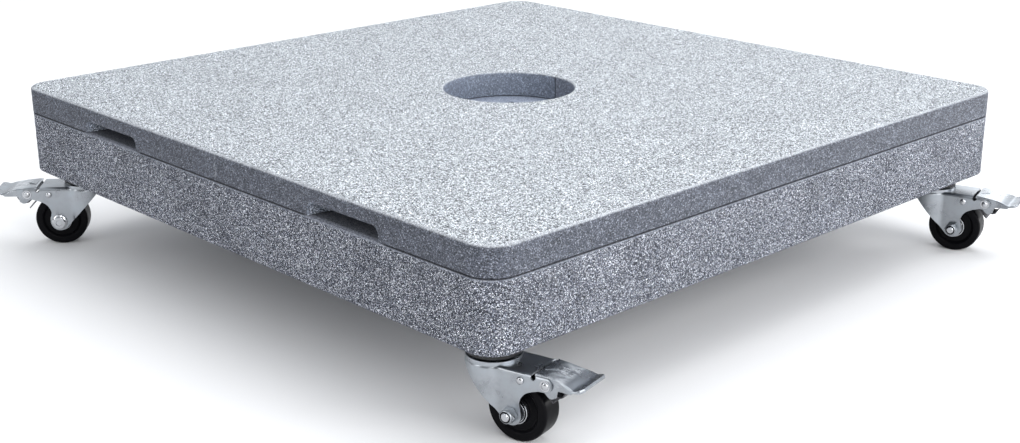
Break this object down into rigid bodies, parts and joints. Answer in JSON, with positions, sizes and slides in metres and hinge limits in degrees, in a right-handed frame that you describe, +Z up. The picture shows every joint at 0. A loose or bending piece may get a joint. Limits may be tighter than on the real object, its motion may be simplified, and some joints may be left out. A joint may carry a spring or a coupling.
{
  "type": "parasol base",
  "caption": "Square stone parasol base with lift-off half cover plates around a round mast recess, rolling on braked swivel casters.",
  "frame": {"origin": "centre of the mast seat, the flat face of the lower slab in the middle of the mast hole", "axes": "+Z up out of the mast hole, +X to the right along the front, +Y from front to back; the cover plates meet on the YZ plane"},
  "size_m": [0.9025, 0.8746, 0.19],
  "materials": {
    "slab_stone": "rough grey granite",
    "cover_stone": "flamed light grey granite",
    "zinc_plate": "zinc plated",
    "bright_steel": "plain bright steel",
    "spring_steel": "blackened spring steel",
    "black_wheel": "satin black",
    "black_cap": "black coating"
  },
  "bodies": {
    "base": {"lower_slab": "slab_stone", "stem_front_left": "bright_steel", "stem_front_right": "bright_steel", "stem_back_left": "bright_steel", "stem_back_right": "bright_steel", "race_cap_front_left": "black_cap", "race_cap_front_right": "black_cap", "race_cap_back_left": "black_cap", "race_cap_back_right": "black_cap"},
    "cover_left": {"cover_plate_left": "cover_stone"},
    "cover_right": {"cover_plate_right": "cover_stone"},
    "fork_body_front_left": {"fork_front_left": "zinc_plate", "ball_ring_front_left": "bright_steel", "sleeve_front_left": "bright_steel", "axle_bolt_front_left": "bright_steel", "axle_nut_front_left": "zinc_plate", "washer_inner_front_left": "bright_steel", "washer_outer_front_left": "bright_steel", "pedal_pin_front_left": "bright_steel", "leaf_rivet_front_left": "bright_steel"},
    "wheel_body_front_left": {"wheel_front_left": "black_wheel"},
    "pedal_body_front_left": {"brake_pedal_front_left": "zinc_plate"},
    "leaf_body_front_left": {"brake_leaf_front_left": "spring_steel"},
    "fork_body_front_right": {"fork_front_right": "zinc_plate", "ball_ring_front_right": "bright_steel", "sleeve_front_right": "bright_steel", "axle_bolt_front_right": "bright_steel", "axle_nut_front_right": "zinc_plate", "washer_inner_front_right": "bright_steel", "washer_outer_front_right": "bright_steel", "pedal_pin_front_right": "bright_steel", "leaf_rivet_front_right": "bright_steel"},
    "wheel_body_front_right": {"wheel_front_right": "black_wheel"},
    "pedal_body_front_right": {"brake_pedal_front_right": "zinc_plate"},
    "leaf_body_front_right": {"brake_leaf_front_right": "spring_steel"},
    "fork_body_back_left": {"fork_back_left": "zinc_plate", "ball_ring_back_left": "bright_steel", "sleeve_back_left": "bright_steel", "axle_bolt_back_left": "bright_steel", "axle_nut_back_left": "zinc_plate", "washer_inner_back_left": "bright_steel", "washer_outer_back_left": "bright_steel", "pedal_pin_back_left": "bright_steel", "leaf_rivet_back_left": "bright_steel"},
    "wheel_body_back_left": {"wheel_back_left": "black_wheel"},
    "pedal_body_back_left": {"brake_pedal_back_left": "zinc_plate"},
    "leaf_body_back_left": {"brake_leaf_back_left": "spring_steel"},
    "fork_body_back_right": {"fork_back_right": "zinc_plate", "ball_ring_back_right": "bright_steel", "sleeve_back_right": "bright_steel", "axle_bolt_back_right": "bright_steel", "axle_nut_back_right": "zinc_plate", "washer_inner_back_right": "bright_steel", "washer_outer_back_right": "bright_steel", "pedal_pin_back_right": "bright_steel", "leaf_rivet_back_right": "bright_steel"},
    "wheel_body_back_right": {"wheel_back_right": "black_wheel"},
    "pedal_body_back_right": {"brake_pedal_back_right": "zinc_plate"},
    "leaf_body_back_right": {"brake_leaf_back_right": "spring_steel"}
  },
  "joints": [
    {"name": "lift_cover_left", "type": "slide", "parent": "base", "child": "cover_left", "axis": [0, 0, 1], "range_m": [0, 0.15]},
    {"name": "lift_cover_right", "type": "slide", "parent": "base", "child": "cover_right", "axis": [0, 0, 1], "range_m": [0, 0.15]},
    {"name": "swivel_front_left", "type": "hinge", "parent": "base", "child": "fork_body_front_left", "pos_m": [-0.3546, -0.3546, -0.07], "axis": [0, 0, 1], "continuous": true},
    {"name": "roll_front_left", "type": "hinge", "parent": "fork_body_front_left", "child": "wheel_body_front_left", "pos_m": [-0.37406, -0.37796, -0.12989], "axis": [0.7683, -0.6401, 0], "continuous": true},
    {"name": "pedal_front_left", "type": "hinge", "parent": "fork_body_front_left", "child": "pedal_body_front_left", "pos_m": [-0.39633, -0.40469, -0.0954], "axis": [0.7683, -0.6401, 0], "range_deg": [0, 20]},
    {"name": "leaf_front_left", "type": "hinge", "parent": "fork_body_front_left", "child": "leaf_body_front_left", "pos_m": [-0.3804, -0.38556, -0.0962], "axis": [0.7683, -0.6401, 0], "range_deg": [0, 13]},
    {"name": "swivel_front_right", "type": "hinge", "parent": "base", "child": "fork_body_front_right", "pos_m": [0.3546, -0.3546, -0.07], "axis": [0, 0, 1], "continuous": true},
    {"name": "roll_front_right", "type": "hinge", "parent": "fork_body_front_right", "child": "wheel_body_front_right", "pos_m": [0.38418, -0.34761, -0.12989], "axis": [-0.23, 0.9732, 0], "continuous": true},
    {"name": "pedal_front_right", "type": "hinge", "parent": "fork_body_front_right", "child": "pedal_body_front_right", "pos_m": [0.41805, -0.3396, -0.0954], "axis": [-0.23, 0.9732, 0], "range_deg": [0, 20]},
    {"name": "leaf_front_right", "type": "hinge", "parent": "fork_body_front_right", "child": "leaf_body_front_right", "pos_m": [0.39382, -0.34533, -0.0962], "axis": [-0.23, 0.9732, 0], "range_deg": [0, 13]},
    {"name": "swivel_back_left", "type": "hinge", "parent": "base", "child": "fork_body_back_left", "pos_m": [-0.3546, 0.3546, -0.07], "axis": [0, 0, 1], "continuous": true},
    {"name": "roll_back_left", "type": "hinge", "parent": "fork_body_back_left", "child": "wheel_body_back_left", "pos_m": [-0.37856, 0.37332, -0.12989], "axis": [-0.6157, -0.788, 0], "continuous": true},
    {"name": "pedal_back_left", "type": "hinge", "parent": "fork_body_back_left", "child": "pedal_body_back_left", "pos_m": [-0.40598, 0.39474, -0.0954], "axis": [-0.6157, -0.788, 0], "range_deg": [0, 20]},
    {"name": "leaf_back_left", "type": "hinge", "parent": "fork_body_back_left", "child": "leaf_body_back_left", "pos_m": [-0.38636, 0.37941, -0.0962], "axis": [-0.6157, -0.788, 0], "range_deg": [0, 13]},
    {"name": "swivel_back_right", "type": "hinge", "parent": "base", "child": "fork_body_back_right", "pos_m": [0.3546, 0.3546, -0.07], "axis": [0, 0, 1], "continuous": true},
    {"name": "roll_back_right", "type": "hinge", "parent": "fork_body_back_right", "child": "wheel_body_back_right", "pos_m": [0.38372, 0.36334, -0.12989], "axis": [-0.2874, 0.9578, 0], "continuous": true},
    {"name": "pedal_back_right", "type": "hinge", "parent": "fork_body_back_right", "child": "pedal_body_back_right", "pos_m": [0.41705, 0.37334, -0.0954], "axis": [-0.2874, 0.9578, 0], "range_deg": [0, 20]},
    {"name": "leaf_back_right", "type": "hinge", "parent": "fork_body_back_right", "child": "leaf_body_back_right", "pos_m": [0.3932, 0.36618, -0.0962], "axis": [-0.2874, 0.9578, 0], "range_deg": [0, 13]}
  ],
  "couplings": [
    {"joint": "leaf_front_left", "follows": "pedal_front_left", "ratio": 0.65},
    {"joint": "leaf_front_right", "follows": "pedal_front_right", "ratio": 0.65},
    {"joint": "leaf_back_left", "follows": "pedal_back_left", "ratio": 0.65},
    {"joint": "leaf_back_right", "follows": "pedal_back_right", "ratio": 0.65}
  ]
}
